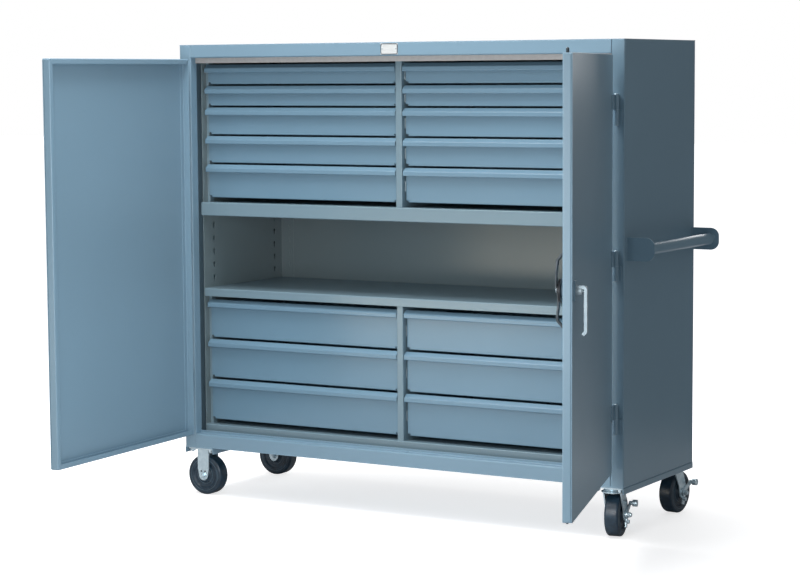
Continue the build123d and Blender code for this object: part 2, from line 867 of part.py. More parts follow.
def caster_leg(top_z, top_near, top_far, axle_x):
    """One flat leg of a fork in the (x, z) plane, wide above and round at the axle."""
    taper_x = leg_width / 2
    outline = Polyline((axle_x - leg_end_radius, wheel_radius), (axle_x - taper_x, leg_taper_height),
                       (top_near, top_z), (top_far, top_z), (axle_x + taper_x, leg_taper_height),
                       (axle_x + leg_end_radius, wheel_radius))
    end = ThreePointArc((axle_x + leg_end_radius, wheel_radius), (axle_x, wheel_radius - leg_end_radius),
                        (axle_x - leg_end_radius, wheel_radius))
    return make_face(outline + end)


def fork_legs(leg, axle_x):
    """Both legs of a fork, one each side of the wheel, bored for the axle."""
    legs = Pos(0, leg_side, 0) * extrude(Plane.XZ * leg, amount=leg_thickness)
    legs += Pos(0, -leg_gap / 2, 0) * extrude(Plane.XZ * leg, amount=leg_thickness)
    bore = axle_diameter / 2 + running_clearance
    return legs - rod_along("Y", (axle_x, 0, wheel_radius), bore, 2 * (leg_side + cut_margin))


def rigid_fork(y):
    """A fixed caster of the left end: its plate with two legs welded under it."""
    leg = caster_leg(plate_bottom, -leg_width / 2, leg_width / 2, 0)
    return Pos(-caster_x, y, 0) * fork_legs(leg, 0) + caster_plate(-caster_x, y)


def axle(axle_x, lever_room):
    """An axle bolt along Y with its head, and a nut on the far side past any lever's hub."""
    near = leg_side
    far = -leg_side - lever_room - nut_height - axle_end
    shank = rod_along("Y", (axle_x, (near + far) / 2, wheel_radius), axle_diameter / 2, near - far)
    head = hexagon(nut_size, nut_height, (0, 0, 0))
    head_place = Pos(axle_x, leg_side + nut_height / 2, wheel_radius) * Rot(90, 0, 0)
    nut_place = Pos(axle_x, -leg_side - lever_room - nut_height / 2, wheel_radius) * Rot(90, 0, 0)
    return shank + head_place * head + nut_place * head


def wheel(axle_x):
    """A solid wheel with rounded shoulders, recessed sides and a steel bushing."""
    half = wheel_width / 2
    rim, hub = wheel_recess_diameter / 2, wheel_hub_diameter / 2
    bore = bushing_diameter / 2 + running_clearance
    outline = [(bore, half), (hub, half), (hub + wheel_recess, half - wheel_recess)]
    outline += [(rim - wheel_recess, half - wheel_recess), (rim, half), (wheel_radius, half)]
    outline += [(x, -y) for x, y in reversed(outline)]
    tread = Polyline(*outline, close=True)
    section = make_face(tread)
    shoulders = section.vertices().group_by(Axis.X)[-1]
    section = fillet(shoulders, wheel_shoulder)
    body = revolve(Plane.XY * section, Axis.Y)
    long_half = half + bushing_proud
    bushing = rod_along("Y", (0, 0, 0), bushing_diameter / 2, 2 * long_half)
    bushing -= rod_along("Y", (0, 0, 0), axle_diameter / 2 + running_clearance, 2 * (long_half + cut_margin))
    return [Pos(axle_x, 0, wheel_radius) * body, Pos(axle_x, 0, wheel_radius) * bushing]


def swivel_head(y):
    """The fixed half of a swivel caster: plate, ball race and kingpin."""
    race_low = crown_height + crown_lift + race_gap
    outline = [(0, plate_bottom), (race_diameter / 2, plate_bottom)]
    outline += [(race_throat / 2, race_low), (0, race_low)]
    race = revolve(Plane.XZ * make_face(Polyline(*outline, close=True)), Axis.Z)
    pin_low = crown_height - kingpin_head_height - race_gap
    pin = rod_along("Z", (0, 0, (plate_bottom + pin_low) / 2), kingpin_diameter / 2, plate_bottom - pin_low)
    head_middle = (0, 0, pin_low + kingpin_head_height / 2)
    pin += rod_along("Z", head_middle, kingpin_head_diameter / 2, kingpin_head_height)
    return Pos(caster_x, y, 0) * (race + pin) + caster_plate(caster_x, y)


def swivel_fork():
    """The turning half: a dished crown with two legs raked back to the axle."""
    edge, lift = crown_diameter / 2, crown_lift
    bore = kingpin_diameter / 2 + running_clearance
    top = crown_height + lift
    outline = [(bore, crown_height), (edge - lift, crown_height)]
    outline += [(edge, crown_height - crown_thickness + lift), (edge, top - crown_thickness / 2)]
    outline += [(edge - lift, top), (bore, top)]
    crown = revolve(Plane.XZ * make_face(Polyline(*outline, close=True)), Axis.Z)
    top_z = crown_height + crown_thickness / 2
    leg = caster_leg(top_z, -leg_width / 2, leg_root_reach, swivel_lead)
    return crown + fork_legs(leg, swivel_lead)


def brake_lever():
    """The foot brake: a cranked arm on a hub outside the leg, with a pedal and a toe screw."""
    inner = -(leg_side + race_gap)
    x, z = swivel_lead, wheel_radius
    hub = rod_along("Y", (x, inner - brake_hub_thickness / 2, z), brake_hub_diameter / 2, brake_hub_thickness)
    toe = (x + brake_toe_back, z - brake_toe_drop)
    knee = (x + brake_knee_back, z + brake_knee_up)
    pedal = (x + brake_reach_back, z + brake_reach_up)
    arm_face = trace(FilletPolyline(toe, knee, pedal, radius=brake_bend), line_width=brake_arm_width)
    arm = Pos(0, inner, 0) * extrude(Plane.XZ * arm_face, amount=brake_arm_thickness)
    neck_middle = (pedal[0], inner - brake_neck_length / 2, pedal[1])
    neck = rod_along("Y", neck_middle, brake_neck_diameter / 2, brake_neck_length)
    pad_middle = (pedal[0], inner - brake_neck_length - brake_pad_thickness / 2, pedal[1])
    pad = rod_along("Y", pad_middle, brake_pad_diameter / 2, brake_pad_thickness)
    screw = hexagon(brake_screw_size, brake_screw_length, (0, 0, 0))
    screw_place = Pos(x, inner - brake_screw_length / 2, z - brake_screw_drop) * Rot(90, 0, 0)
    bore = axle_diameter / 2 + running_clearance
    bore_length = 2 * (brake_hub_thickness + cut_margin)
    lever = hub + arm + neck + pad + screw_place * screw
    return lever - rod_along("Y", (x, inner, z), bore, bore_length)


def at_caster(shape, y, heading):
    """A swivel caster piece, turned to its heading and put under the right end."""
    return Pos(caster_x, y, 0) * Rot(0, 0, 90 + heading) * shape


def grouped(shapes):
    """Several separate solids as one piece of the list."""
    return Compound(children=list(shapes))


def build_nodes():
    """Every piece by name, placed round the middle of the body's front edge."""
    nodes = {}
    nodes["right_side_panel"] = side_panel()
    nodes["left_side_panel"] = mirrored(side_panel())
    nodes["top_panel"] = flat_sheet(roof_underside)
    nodes["floor_pan"] = floor_pan()
    nodes["back_panel"] = back_panel()
    nodes["header"] = header()
    nodes["header_stop"] = header_stop()
    nodes["sill"] = sill()
    nodes["right_liner"] = liner()
    nodes["left_liner"] = mirrored(liner())
    nodes["bottom_deck"] = deck(bottom_deck_height)
    nodes["lower_deck"] = deck(lower_deck_height)
    nodes["upper_deck"] = upper_deck()
    nodes["lower_divider"] = divider(level(bottom_deck_height), level(lower_deck_height) - inner_sheet)
    nodes["upper_divider"] = divider(level(upper_deck_height), roof_underside)
    nodes["slide_posts"] = grouped(slide_posts())
    nodes["base_channels"] = grouped(base_channels())
    nodes["name_plate"] = name_plate()
    nodes["push_handle"] = grouped(push_handle())

    banks = {
        "upper": drawer_rows(upper_deck_height, upper_front_heights, upper_front_gap),
        "lower": drawer_rows(bottom_deck_height, lower_front_heights, lower_front_gap),
    }
    channels = []
    for bank, rows in banks.items():
        for number, (low, high) in enumerate(reversed(rows), start=1):
            pieces = drawer(low, high)
            nodes[f"{bank}_right_drawer_{number}"] = grouped(pieces)
            nodes[f"{bank}_left_drawer_{number}"] = grouped(mirrored(piece) for piece in pieces)
            fixed = fixed_slides(low, high)
            channels += fixed + [mirrored(channel) for channel in fixed]
    nodes["slide_channels"] = grouped(channels)

    frame_leaves = frame_hinge_leaves()
    nodes["frame_hinge_leaves"] = grouped(frame_leaves + [mirrored(leaf) for leaf in frame_leaves])
    nodes["right_door_panel"] = turned_right(right_door_panel())
    nodes["right_door_frame"] = grouped(turned_right(bar) for bar in door_frame(True))
    nodes["right_door_hinge_leaves"] = grouped(turned_right(leaf) for leaf in door_hinge_leaves())
    nodes["left_door_panel"] = turned_left(door_panel())
    nodes["left_door_frame"] = grouped(turned_left(bar) for bar in door_frame(False))
    nodes["left_door_hinge_leaves"] = grouped(turned_left(leaf) for leaf in door_hinge_leaves())
    nodes["lock_fittings"] = grouped(turned_right(piece) for piece in lock_fittings())
    nodes["latch_handle"] = turned_right(latch_handle())
    nodes["latch_cam"] = turned_right(latch_cam())
    nodes["top_lock_rod"] = turned_right(lock_rod(1, door_top + rod_tip_top))
    nodes["bottom_lock_rod"] = turned_right(lock_rod(-1, door_bottom - rod_tip_bottom))

    nodes["caster_bolts"] = grouped(caster_bolts())
    rigid = []
    for end, y in zip(("front", "rear"), caster_places_y):
        to_rigid = Pos(-caster_x, y, 0)
        rigid += [rigid_fork(y), to_rigid * axle(0, 0)]
        nodes[f"left_{end}_wheel"] = grouped(to_rigid * piece for piece in wheel(0))
    nodes["rigid_forks"] = grouped(rigid)
    nodes["swivel_heads"] = grouped(swivel_head(y) for y in caster_places_y)
    headings = (front_caster_heading, rear_caster_heading)
    lever_room = brake_hub_thickness + 2 * race_gap
    for end, y, heading in zip(("front", "rear"), caster_places_y, headings):
        fork = [at_caster(swivel_fork(), y, heading), at_caster(axle(swivel_lead, lever_room), y, heading)]
        nodes[f"right_{end}_fork"] = grouped(fork)
        pieces = wheel(swivel_lead)
        nodes[f"right_{end}_wheel"] = grouped(at_caster(piece, y, heading) for piece in pieces)
        nodes[f"right_{end}_brake_lever"] = at_caster(brake_lever(), y, heading)
    return nodes


def centred(nodes):
    """The same pieces, moved so that the origin is under the middle of their whole box."""
    boxes = [shape.bounding_box() for shape in nodes.values()]
    middle_x = (min(box.min.X for box in boxes) + max(box.max.X for box in boxes)) / 2
    middle_y = (min(box.min.Y for box in boxes) + max(box.max.Y for box in boxes)) / 2
    move = Pos(-middle_x, -middle_y, 0)
    return {name: move * shape for name, shape in nodes.items()}, (-middle_x, -middle_y)


nodes, origin_shift = centred(build_nodes())
os.makedirs("parts", exist_ok=True)
for name, shape in nodes.items():
    export_step(shape, f"parts/{name}.step")
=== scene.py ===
# %% [markdown]
# # A rolling storage cabinet, dressed for its picture
#
# The cabinet's steel pieces come ready made, at their real size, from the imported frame.
# This lesson gives them their paint, plating and rubber, adds the small things that the frame
# leaves out (weld beads, rivets, hinge caps, wheel rings, the name plate's rim, a nut and a cap),
# and puts the whole on a white studio floor. Nothing that the frame holds is moved or resized.

# %% Load the frame
import json
import math
import bmesh
import bpy
from mathutils import Matrix, Vector


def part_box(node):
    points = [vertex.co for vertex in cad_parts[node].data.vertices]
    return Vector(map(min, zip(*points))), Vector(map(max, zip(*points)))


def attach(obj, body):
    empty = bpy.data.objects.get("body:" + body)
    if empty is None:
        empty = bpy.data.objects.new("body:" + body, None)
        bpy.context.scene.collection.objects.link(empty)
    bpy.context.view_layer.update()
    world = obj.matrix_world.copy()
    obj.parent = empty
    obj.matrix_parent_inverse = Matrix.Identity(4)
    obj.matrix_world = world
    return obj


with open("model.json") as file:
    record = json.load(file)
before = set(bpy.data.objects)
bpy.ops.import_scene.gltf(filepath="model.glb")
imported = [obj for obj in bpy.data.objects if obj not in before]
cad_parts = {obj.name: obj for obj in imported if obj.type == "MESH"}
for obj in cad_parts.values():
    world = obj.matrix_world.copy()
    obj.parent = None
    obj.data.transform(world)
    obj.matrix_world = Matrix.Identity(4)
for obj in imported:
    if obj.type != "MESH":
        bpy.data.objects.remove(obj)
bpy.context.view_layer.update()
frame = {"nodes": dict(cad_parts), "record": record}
MM = 0.001
nodes = frame["nodes"]

# %% [markdown]
# ## Landmarks
#
# A place below is told either from the box of the piece that it belongs to or from three planes
# of the real cabinet: the middle of its front, the front face of its frame and the underside of
# its floor. Reading these from the frame's own boxes too keeps the dressing on the steel if the
# frame is ever packed again with another origin.

# %% Landmarks read from the frame
header_low, header_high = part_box("header")
stile_low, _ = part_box("right_side_panel")
floor_low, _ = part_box("floor_pan")
middle_x = (header_low.x + header_high.x) / 2
front_y = stile_low.y
under_z = floor_low.z
print("middle x", round(middle_x, 4), "front y", round(front_y, 4), "underside z", round(under_z, 4))


def place(x, y, z):
    """A point in the cabinet's own millimetres, as a place in the frame in metres."""
    return Vector((middle_x + x * MM, front_y + y * MM, under_z + z * MM))


# %% [markdown]
# ## The camera
#
# The photograph was taken from the cabinet's right, about eight metres off, with a long lens. Its
# angles were worked out from the corners of the body, so the camera is built from an azimuth, an
# elevation and a small roll and not from a look-at helper, which would hide the roll.

# %% Camera
PICTURE_WIDTH = 800
SENSOR_WIDTH = 36.0
CAMERA_PLACE = (4031.4, -6803.5, 1403.9)
CAMERA_AZIMUTH = math.radians(30.409)
CAMERA_ELEVATION = math.radians(5.549)
CAMERA_ROLL = math.radians(-0.358)
FOCAL_LENGTH_IN_PIXELS = 2219.5


def aim(azimuth, elevation, roll):
    """The turn of a camera that looks along +Y at azimuth 0, and tips down with elevation."""
    ahead = Vector((-math.sin(azimuth) * math.cos(elevation),
                    math.cos(azimuth) * math.cos(elevation), -math.sin(elevation)))
    level = Vector((math.cos(azimuth), math.sin(azimuth), 0))
    upright = level.cross(ahead)
    right = math.cos(roll) * level + math.sin(roll) * upright
    up = math.cos(roll) * upright - math.sin(roll) * level
    return Matrix((right, up, -ahead)).transposed()


camera_data = bpy.data.cameras.new("photo_camera")
camera_data.sensor_width = SENSOR_WIDTH
camera_data.lens = FOCAL_LENGTH_IN_PIXELS / PICTURE_WIDTH * SENSOR_WIDTH
camera_data.clip_end = 100
camera = bpy.data.objects.new("photo_camera", camera_data)
camera.matrix_world = Matrix.Translation(place(*CAMERA_PLACE)) @ aim(
    CAMERA_AZIMUTH, CAMERA_ELEVATION, CAMERA_ROLL).to_4x4()
bpy.context.scene.collection.objects.link(camera)
bpy.context.scene.camera = camera
print("lens", round(camera_data.lens, 2), "mm at", [round(v, 3) for v in camera.location])

# %% [markdown]
# ## Node helpers
#
# A material is a small tree of nodes, and a few helpers keep each recipe readable. One adds a node
# and sets its sockets, and one starts a material and hands back its tree and its surface shader.
# The other three make what nearly every finish needs: noise of a real size, a value spread over
# another range, and two colours blended by a value. What is the same everywhere goes straight
# onto the shader's own sockets, and only what varies over the surface is linked.

# %% Node helpers


def add_node(tree, kind, **sockets):
    """A new node with some of its input sockets set by name."""
    node = tree.nodes.new(kind)
    for name, value in sockets.items():
        node.inputs[name.replace("_", " ")].default_value = value
    return node


def new_material(name):
    """An empty node material and its surface shader."""
    material = bpy.data.materials.new(name)
    material.use_nodes = True
    tree = material.node_tree
    tree.nodes.clear()
    shader = tree.nodes.new("ShaderNodeBsdfPrincipled")
    output = tree.nodes.new("ShaderNodeOutputMaterial")
    tree.links.new(shader.outputs["BSDF"], output.inputs["Surface"])
    return material, tree, shader


def noise(tree, scale, detail=2.0, roughness=0.5):
    """Noise in the frame's own metres, so that its grain is a real size."""
    where = tree.nodes.new("ShaderNodeTexCoord")
    texture = add_node(tree, "ShaderNodeTexNoise", Scale=scale, Detail=detail, Roughness=roughness)
    tree.links.new(where.outputs["Object"], texture.inputs["Vector"])
    return texture.outputs["Fac"]


def spread(tree, value, low, high, from_low=0.3, from_high=0.7):
    """A value eased from one range to another, by default from the middle of a noise's range."""
    node = add_node(tree, "ShaderNodeMapRange", From_Min=from_low, From_Max=from_high,
                    To_Min=low, To_Max=high)
    node.interpolation_type = "SMOOTHSTEP"
    tree.links.new(value, node.inputs["Value"])
    return node.outputs["Result"]


def blend_colours(tree, factor, first, second):
    """Two colours mixed by a value; either may be a socket or a plain colour."""
    node = tree.nodes.new("ShaderNodeMix")
    node.data_type = "RGBA"
    tree.links.new(factor, node.inputs["Factor"])
    for name, colour in (("A", first), ("B", second)):
        socket = [s for s in node.inputs if s.name == name and s.type == "RGBA"][0]
        if isinstance(colour, tuple):
            socket.default_value = (*colour, 1)
        else:
            tree.links.new(colour, socket)
    return [s for s in node.outputs if s.type == "RGBA"][0]


print("node helpers: add_node, new_material, noise, spread, blend_colours")

# %% [markdown]
# ## Rounded edges and painted edge highlights without new geometry
#
# Bent and sheared sheet never ends in a knife edge. The Bevel node looks a millimetre or so
# around each shaded point and turns the normal towards the neighbouring face, so an edge catches
# a thin line of light, as it does in the photograph. The same node also tells where the edges
# are: where its normal leaves the true one, the enamel is given a paler colour, a painted highlight.

# %% Rounded edges and edge mask
BEVEL_SAMPLES = 6
EDGE_AT = 0.80
FLAT_AT = 0.99


def rounded_normal(tree, radius):
    """A normal that rolls over the edges of the steel."""
    bevel = tree.nodes.new("ShaderNodeBevel")
    bevel.samples = BEVEL_SAMPLES
    bevel.inputs["Radius"].default_value = radius
    return bevel.outputs["Normal"]


def edge_mask(tree, normal):
    """One along the edges, nought on the flats, by how far the rounded normal leaves the true one."""
    geometry = tree.nodes.new("ShaderNodeNewGeometry")
    dot = tree.nodes.new("ShaderNodeVectorMath")
    dot.operation = "DOT_PRODUCT"
    tree.links.new(normal, dot.inputs[0])
    tree.links.new(geometry.outputs["Normal"], dot.inputs[1])
    return spread(tree, dot.outputs["Value"], 1.0, 0.0, EDGE_AT, FLAT_AT)


def bumps(tree, height, distance, normal=None, strength=1.0):
    """A bump from a height, laid over another normal if one is given."""
    node = add_node(tree, "ShaderNodeBump", Strength=strength, Distance=distance)
    tree.links.new(height, node.inputs["Height"])
    if normal is not None:
        tree.links.new(normal, node.inputs["Normal"])
    return node.outputs["Normal"]


print("edges are rounded with", BEVEL_SAMPLES, "samples a point")

# %% [markdown]
# ## The paint
#
# The cabinet is finished in a blue-grey enamel with a satin gloss. Sprayed enamel is not mirror
# smooth: it has an orange peel a few millimetres across, and the sheet under it is never quite
# flat, so long reflections swim. Both are bumps in the shading, slow ones for the sheet and fine
# ones for the peel. The colour drifts by a few percent over an arm's length, and the edges get a
# paler colour, a painted highlight along each bend.
#
# The body has the enamel's own blue-grey. The shelves, the bay and the drawers get darker, greyer
# copies of it, set by comparing the render with the photograph: painted shade for parts that stand
# back from the light. The gloss varies by only a hundredth either way. At a roughness a little
# over 0.27 the renderer starts to treat a reflection as matt light, and a finish that crossed that
# line would show hard-edged patches.
#
# A noise's scale counts its lumps in a metre: 1.7 makes clouds of about 60 cm, and 260 a peel of
# about 4 mm.

# %% Paint recipe
CLOUD_SCALE = 1.7
GLOSS_SCALE = 6
WAVE_SCALE = 2.3
PEEL_SCALE = 260
COLOUR_DRIFT = 0.03
GLOSS_DRIFT = 0.01
EDGE_HIGHLIGHT_GAIN = 1.55
EDGE_HIGHLIGHT_LIFT = 0.02
PEEL_HEIGHT = 0.004 * MM


def enamel(name, colour, gloss_roughness, edge_radius=1.6 * MM, sheet_waves=0.8 * MM):
    """Enamel over steel sheet, with a painted highlight along its rounded edges."""
    material, tree, shader = new_material(name)
    normal = rounded_normal(tree, edge_radius)
    edges = edge_mask(tree, normal)
    cloudy = spread(tree, noise(tree, CLOUD_SCALE, 1.0), 0.0, 1.0, 0.2, 0.8)
    pale = tuple(min(1.0, c * (1 + COLOUR_DRIFT)) for c in colour)
    deep = tuple(c * (1 - COLOUR_DRIFT) for c in colour)
    # The paler colour along the edges is a painted highlight.
    painted_edge_highlight = tuple(min(1.0, c * EDGE_HIGHLIGHT_GAIN + EDGE_HIGHLIGHT_LIFT) for c in colour)
    body = blend_colours(tree, cloudy, deep, pale)
    with_painted_edge_highlight = blend_colours(tree, edges, body, painted_edge_highlight)
    tree.links.new(with_painted_edge_highlight, shader.inputs["Base Color"])
    gloss = spread(tree, noise(tree, GLOSS_SCALE, 1.0), gloss_roughness - GLOSS_DRIFT,
                   gloss_roughness + GLOSS_DRIFT, 0.2, 0.8)
    tree.links.new(gloss, shader.inputs["Roughness"])
    swim = bumps(tree, noise(tree, WAVE_SCALE, 0.0), sheet_waves, normal)
    peel = bumps(tree, noise(tree, PEEL_SCALE, 1.0), PEEL_HEIGHT, swim)
    tree.links.new(peel, shader.inputs["Normal"])
    return material


# The first colour is the enamel's own; the three darker copies after it are painted shade.
BODY_BLUE_GREY = (0.186, 0.298, 0.385)
INNER_SHADED_BLUE_GREY = (0.172, 0.256, 0.305)
BAY_SHADED_BLUE_GREY = (0.146, 0.197, 0.214)
DRAWER_SHADED_BLUE_GREY = (0.152, 0.262, 0.348)
body_paint = enamel("body_enamel", BODY_BLUE_GREY, 0.33)
inner_paint = enamel("inner_shaded_enamel", INNER_SHADED_BLUE_GREY, 0.25)
bay_shaded_paint = enamel("bay_shaded_enamel", BAY_SHADED_BLUE_GREY, 0.25)
drawer_paint = enamel("drawer_shaded_enamel", DRAWER_SHADED_BLUE_GREY, 0.25, 1.2 * MM, 0.5 * MM)
print("enamels made:", [m.name for m in (body_paint, inner_paint, bay_shaded_paint, drawer_paint)])

# %% [markdown]
# ## Plated, blackened and rubber parts
#
# The casters, their bolts and the slides are zinc plated: a pale metal with a faint cloud of dull
# and bright patches. One recipe makes this and its relatives, each with two shades and its own
# gloss: the duller plating of the lock's handle, the dark lock rods, and the pale strip that the
# doors close against. The lock's cam is blackened. The wheels are hard rubber, blue-black and a
# little dusty. The name plate is bare satin metal, brushed from side to side.
#
# As with the paint, the gloss of each keeps to one side of the renderer's line, but for the
# name plate, which is too small in the picture for a patch to show.

# %% Plated, blackened and rubber recipes


def plated_steel(name, dull, bright, low_roughness, high_roughness, metallic):
    """Metal with a faint cloud of dull and bright patches, as shiny as it is told to be."""
    material, tree, shader = new_material(name)
    normal = rounded_normal(tree, 0.8 * MM)
    patches = spread(tree, noise(tree, 60, 3.0, 0.5), 0.0, 1.0)
    tree.links.new(blend_colours(tree, patches, dull, bright), shader.inputs["Base Color"])
    gloss = spread(tree, noise(tree, 140, 2.0), low_roughness, high_roughness)
    tree.links.new(gloss, shader.inputs["Roughness"])
    tree.links.new(bumps(tree, noise(tree, 600, 1.0), 0.008 * MM, normal), shader.inputs["Normal"])
    shader.inputs["Metallic"].default_value = metallic
    return material


def blackened_steel(name):
    """Oil-blackened steel, rubbed grey along its edges."""
    material, tree, shader = new_material(name)
    normal = rounded_normal(tree, 0.8 * MM)
    edges = edge_mask(tree, normal)
    colour = blend_colours(tree, edges, (0.018, 0.020, 0.024), (0.20, 0.21, 0.22))
    tree.links.new(colour, shader.inputs["Base Color"])
    tree.links.new(spread(tree, noise(tree, 200, 2.0), 0.30, 0.45), shader.inputs["Roughness"])
    tree.links.new(bumps(tree, noise(tree, 900, 2.0), 0.02 * MM, normal), shader.inputs["Normal"])
    shader.inputs["Metallic"].default_value = 0.6
    return material


def hard_rubber(name, deep=(0.006, 0.022, 0.040), dusty=(0.018, 0.046, 0.076)):
    """Hard moulded rubber, blue-black by default, scuffed and a little dusty."""
    material, tree, shader = new_material(name)
    normal = rounded_normal(tree, 1.0 * MM)
    dust = spread(tree, noise(tree, 38, 6.0, 0.62), 0.0, 1.0, 0.35, 0.75)
    colour = blend_colours(tree, dust, deep, dusty)
    tree.links.new(colour, shader.inputs["Base Color"])
    tree.links.new(spread(tree, noise(tree, 60, 2.0), 0.30, 0.40), shader.inputs["Roughness"])
    tree.links.new(bumps(tree, noise(tree, 420, 2.0, 0.5), 0.03 * MM, normal), shader.inputs["Normal"])
    return material


def brushed_plate(name):
    """Satin metal, brushed from side to side."""
    material, tree, shader = new_material(name)
    where = tree.nodes.new("ShaderNodeTexCoord")
    stretch = tree.nodes.new("ShaderNodeMapping")
    stretch.inputs["Scale"].default_value = (30, 30, 4000)
    grain = add_node(tree, "ShaderNodeTexNoise", Scale=1.0, Detail=3.0)
    tree.links.new(where.outputs["Object"], stretch.inputs["Vector"])
    tree.links.new(stretch.outputs["Vector"], grain.inputs["Vector"])
    lines = spread(tree, grain.outputs["Fac"], 0.0, 1.0)
    colour = blend_colours(tree, lines, (0.66, 0.68, 0.68), (0.74, 0.76, 0.76))
    tree.links.new(colour, shader.inputs["Base Color"])
    tree.links.new(spread(tree, grain.outputs["Fac"], 0.26, 0.40), shader.inputs["Roughness"])
    tree.links.new(bumps(tree, grain.outputs["Fac"], 0.01 * MM), shader.inputs["Normal"])
    shader.inputs["Metallic"].default_value = 0.3
    return material


plated = plated_steel("bright_zinc", (0.50, 0.62, 0.69), (0.60, 0.72, 0.78), 0.20, 0.26, 0.6)
handle_metal = plated_steel("handle_zinc", (0.30, 0.39, 0.45), (0.36, 0.45, 0.50), 0.34, 0.42, 0.35)
rod_metal = plated_steel("dull_rod", (0.028, 0.042, 0.052), (0.042, 0.060, 0.072), 0.48, 0.58, 0.1)
strip_metal = plated_steel("pale_strip", (0.46, 0.45, 0.44), (0.50, 0.49, 0.48), 0.34, 0.40, 0.0)
black_steel = blackened_steel("blackened_steel")
rubber = hard_rubber("hard_rubber")
plate_metal = brushed_plate("satin_plate")
other_finishes = (plated, handle_metal, rod_metal, strip_metal, black_steel, rubber, plate_metal)
print("other finishes:", [finish.name for finish in other_finishes])

# %% [markdown]
# ## Paint the frame's own pieces
#
# The record names a slot of finish for each piece. The finishes are handed out by those slots,
# so a piece that joins the frame later is painted without a new line here. A few pieces look
# different from the rest of their slot in the photograph, such as the bay's walls and the strip
# behind the doors, and are named one by one.

# %% Hand out the finishes
FINISH_BY_SLOT = {
    "cabinet_paint": body_paint,
    "inner_paint": inner_paint,
    "drawer_paint": drawer_paint,
    "zinc_plate": plated,
    "blackened_steel": black_steel,
    "wheel_black": rubber,
    "plate_metal": plate_metal,
}
FINISH_BY_PIECE = {
    "latch_handle": handle_metal,
    "top_lock_rod": rod_metal,
    "bottom_lock_rod": rod_metal,
    "lock_fittings": body_paint,
    "header_stop": strip_metal,
    # The bay's walls take the bay's darker copy of the enamel, painted shade for the recess.
    "back_panel": bay_shaded_paint,
    "left_liner": bay_shaded_paint,
    "right_liner": bay_shaded_paint,
}
slot_of = {part["node"]: part["material_slot"] for part in frame["record"]["subparts"]}
for name, piece in nodes.items():
    finish = FINISH_BY_PIECE.get(name, FINISH_BY_SLOT[slot_of[name]])
    piece.data.materials.clear()
    piece.data.materials.append(finish)
print("finished pieces:", len(slot_of))

# %% [markdown]
# ## Two ways to make small pieces
#
# Nearly everything that the shop adds to the sheet is either a line of metal or a turned bit. A
# weld bead, a moulded ring and the rim of the plate are a round section carried along a line, so
# one sweep makes them all; its thickness may change on the way, which gives a bead its ripples.
# Rivets, hinge caps and nuts are a profile turned round an axis, with six sides for a nut.

# %% Sweep and turning helpers
SWEEP_UP = Vector((0.31, 0.42, 0.85)).normalized()


def mesh_piece(name, shape, smooth, finish, body):
    """A mesh from a bmesh, finished and fixed to a body of the frame."""
    mesh = bpy.data.meshes.new(name)
    bmesh.ops.recalc_face_normals(shape, faces=shape.faces)
    shape.to_mesh(mesh)
    shape.free()
    for face in mesh.polygons:
        face.use_smooth = smooth
    mesh.materials.append(finish)
    piece = bpy.data.objects.new(name, mesh)
    bpy.context.scene.collection.objects.link(piece)
    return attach(piece, body)


def turns_of(count):
    """The angles of points spread evenly round a circle."""
    return [2 * math.pi * k / count for k in range(count)]


def swept(points, radii, closed, sides=10):
    """A round section carried along a line of points, which never runs along SWEEP_UP."""
    shape = bmesh.new()
    rings = []
    count = len(points)
    for i, point in enumerate(points):
        before = points[i - 1] if (closed or i > 0) else point
        after = points[(i + 1) % count] if (closed or i < count - 1) else point
        along = (after - before).normalized()
        side = along.cross(SWEEP_UP).normalized()
        up = side.cross(along)
        rings.append([shape.verts.new(point + radii[i] * (math.cos(t) * side + math.sin(t) * up))
                      for t in turns_of(sides)])
    for i in range(count if closed else count - 1):
        first, second = rings[i], rings[(i + 1) % count]
        for k in range(sides):
            shape.faces.new((first[k], first[(k + 1) % sides], second[(k + 1) % sides], second[k]))
    if not closed:
        shape.faces.new(rings[0])
        shape.faces.new(rings[-1])
    return shape


def turned(profile, centre, axis, sides=28):
    """A profile of (radius, height) pairs turned round an axis; it starts and ends on the axis."""
    shape = bmesh.new()
    axis = axis.normalized()
    side = axis.orthogonal().normalized()
    other = axis.cross(side)
    rings = []
    for radius, height in profile:
        middle = centre + height * MM * axis
        if radius == 0:
            rings.append([shape.verts.new(middle)])
            continue
        rings.append([shape.verts.new(middle + radius * MM * (math.cos(t) * side + math.sin(t) * other))
                      for t in turns_of(sides)])
    for first, second in zip(rings, rings[1:]):
        for k in range(sides):
            corners = [first[k % len(first)], first[(k + 1) % len(first)],
                       second[(k + 1) % len(second)], second[k % len(second)]]
            shape.faces.new(list(dict.fromkeys(corners)))
    return shape


def circle_points(centre, axis, radius, count):
    """Points round a circle, for closed sweeps."""
    side = axis.orthogonal().normalized()
    other = axis.normalized().cross(side)
    return [centre + radius * (math.cos(t) * side + math.sin(t) * other) for t in turns_of(count)]


print("shape helpers: mesh_piece, swept, turned, circle_points")

# %% [markdown]
# ## Weld beads of the push handle
#
# Each bracket is welded to the side along both faces of its root, and the tube is welded all
# round where it meets the brackets. A hand-laid bead is a row of small overlapping puddles, so its
# thickness rises and falls every five millimetres. It is painted with the body.

# %% Weld beads
BEAD = 3.2 * MM
RIPPLE_PITCH = 5.0 * MM
THINNEST = 0.78


def bead_radii(points):
    """The bead's thickness at each point along it."""
    gone = 0.0
    radii = []
    for i, point in enumerate(points):
        gone += (point - points[i - 1]).length if i else 0.0
        puddle = abs(math.sin(math.pi * gone / RIPPLE_PITCH))
        radii.append(BEAD * (THINNEST + (1 - THINNEST) * puddle))
    return radii


